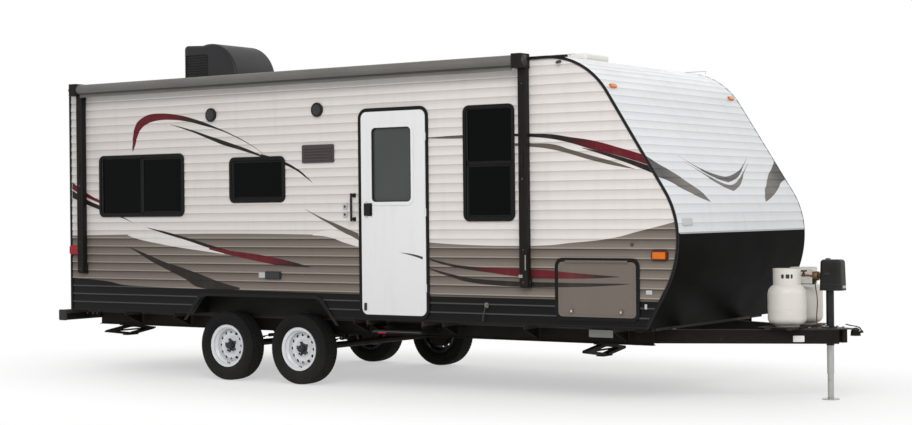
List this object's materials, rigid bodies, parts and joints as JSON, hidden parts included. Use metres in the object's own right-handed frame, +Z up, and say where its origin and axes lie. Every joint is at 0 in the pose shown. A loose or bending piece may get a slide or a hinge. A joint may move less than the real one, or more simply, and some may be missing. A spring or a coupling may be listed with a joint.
{
  "type": "travel caravan",
  "caption": "Boxed towed caravan on a tandem-axle frame with an A-frame drawbar, opening entry door, baggage hatches, roof vents, fold-out step, rolled awning and jacks",
  "frame": {"origin": "centre of the ball socket in the coupler, 0.545 m above the ground with the caravan level", "axes": "+X forward, +Y to the left seen by the driver (street side in a right-hand-traffic country), +Z up"},
  "size_m": [7.942, 2.615, 3.2651],
  "materials": {
    "siding": "gloss",
    "siding_grey": "gloss",
    "siding_black": "gloss",
    "frame_steel": "satin",
    "dark_plastic": "matte",
    "white_plastic": "gloss",
    "board": "matte",
    "glass": "gloss",
    "window_frame": "satin",
    "membrane": "matte",
    "rim_white": "gloss",
    "tyre_rubber": "matte",
    "bottle_white": "gloss",
    "brass": "satin",
    "hose": "matte",
    "amber": "gloss",
    "red": "gloss",
    "zinc": "satin",
    "aluminium": "satin",
    "cloth": "matte"
  },
  "bodies": {
    "caravan": {"amber_lamps": "amber", "arch_flares": "dark_plastic", "awning_arms": "aluminium", "awning_roller": "cloth", "axles": "frame_steel", "bottle_rack": "frame_steel", "coupler": "frame_steel", "door_frames": "window_frame", "drawbar": "frame_steel", "edge_mouldings": "window_frame", "floor_deck": "board", "frame_brackets": "frame_steel", "frame_rails": "frame_steel", "gas_bottles": "bottle_white", "gas_fittings": "brass", "gas_hose_curb": "hose", "gas_hose_street": "hose", "gas_hose_supply": "hose", "leaf_springs": "frame_steel", "nose_panel": "siding_black", "nose_siding": "siding", "rear_bumper": "frame_steel", "red_lamps": "red", "roof_membrane": "membrane", "roof_panel": "board", "roof_unit": "dark_plastic", "side_covers": "white_plastic", "side_fittings": "dark_plastic", "siding_black": "siding_black", "siding_grey": "siding_grey", "siding_white": "siding", "stabilizer_jacks": "frame_steel", "tongue_jack": "dark_plastic", "vent_bases": "white_plastic", "wall_curb": "board", "wall_front": "board", "wall_rear": "board", "wall_street": "board", "wheel_wells": "zinc", "window_frames": "window_frame", "window_glass": "glass"},
    "entry_door": {"entry_door": "siding", "door_glass": "glass", "door_lock": "dark_plastic"},
    "hatch_curb": {"hatch_curb": "siding_grey"},
    "hatch_street": {"hatch_street": "siding_grey"},
    "vent_lid_rear": {"vent_lid_rear": "dark_plastic"},
    "vent_lid_front": {"vent_lid_front": "dark_plastic"},
    "jack_leg": {"jack_leg": "zinc"},
    "step_arms": {"step_arms": "frame_steel"},
    "step_links": {"step_links": "frame_steel"},
    "step_tread": {"step_tread": "frame_steel"},
    "wheel_rear_curb": {"rim_rear_curb": "rim_white", "tyre_rear_curb": "tyre_rubber"},
    "wheel_front_curb": {"rim_front_curb": "rim_white", "tyre_front_curb": "tyre_rubber"},
    "wheel_rear_street": {"rim_rear_street": "rim_white", "tyre_rear_street": "tyre_rubber"},
    "wheel_front_street": {"rim_front_street": "rim_white", "tyre_front_street": "tyre_rubber"}
  },
  "joints": [
    {"name": "spin_rear_curb", "type": "hinge", "parent": "caravan", "child": "wheel_rear_curb", "pos_m": [-5.687, -1.098, -0.223], "axis": [0, 1, 0], "continuous": true},
    {"name": "spin_front_curb", "type": "hinge", "parent": "caravan", "child": "wheel_front_curb", "pos_m": [-4.821, -1.098, -0.223], "axis": [0, 1, 0], "continuous": true},
    {"name": "spin_rear_street", "type": "hinge", "parent": "caravan", "child": "wheel_rear_street", "pos_m": [-5.687, 1.098, -0.223], "axis": [0, 1, 0], "continuous": true},
    {"name": "spin_front_street", "type": "hinge", "parent": "caravan", "child": "wheel_front_street", "pos_m": [-4.821, 1.098, -0.223], "axis": [0, 1, 0], "continuous": true},
    {"name": "door_swing", "type": "hinge", "parent": "caravan", "child": "entry_door", "pos_m": [-3.356, -1.235, 1.005], "axis": [0, 0, 1], "range_deg": [0, 170]},
    {"name": "hatch_curb_lift", "type": "hinge", "parent": "caravan", "child": "hatch_curb", "pos_m": [-1.687, -1.235, 0.6], "axis": [-1, 0, 0], "range_deg": [0, 170]},
    {"name": "hatch_street_lift", "type": "hinge", "parent": "caravan", "child": "hatch_street", "pos_m": [-1.687, 1.235, 0.6], "axis": [1, 0, 0], "range_deg": [0, 170]},
    {"name": "vent_rear_lift", "type": "hinge", "parent": "caravan", "child": "vent_lid_rear", "pos_m": [-5.179, 0, 2.343], "axis": [0, -1, 0], "range_deg": [0, 75]},
    {"name": "vent_front_lift", "type": "hinge", "parent": "caravan", "child": "vent_lid_front", "pos_m": [-2.779, 0, 2.343], "axis": [0, -1, 0], "range_deg": [0, 75]},
    {"name": "jack_leg_slide", "type": "slide", "parent": "caravan", "child": "jack_leg", "axis": [0, 0, 1], "range_m": [-0.1, 0.26]},
    {"name": "step_swing", "type": "hinge", "parent": "caravan", "child": "step_arms", "pos_m": [-3.705, -1.14, 0.03], "axis": [-1, 0, 0], "range_deg": [0, 108]},
    {"name": "step_link_swing", "type": "hinge", "parent": "caravan", "child": "step_links", "pos_m": [-3.705, -1.202, 0.03], "axis": [-1, 0, 0], "range_deg": [0, 108]},
    {"name": "tread_turn", "type": "hinge", "parent": "step_arms", "child": "step_tread", "pos_m": [-3.705, -0.97311, -0.03743], "axis": [-1, 0, 0], "range_deg": [-108, 0]}
  ],
  "couplings": [
    {"joint": "step_link_swing", "follows": "step_swing", "ratio": 1},
    {"joint": "tread_turn", "follows": "step_swing", "ratio": -1}
  ]
}
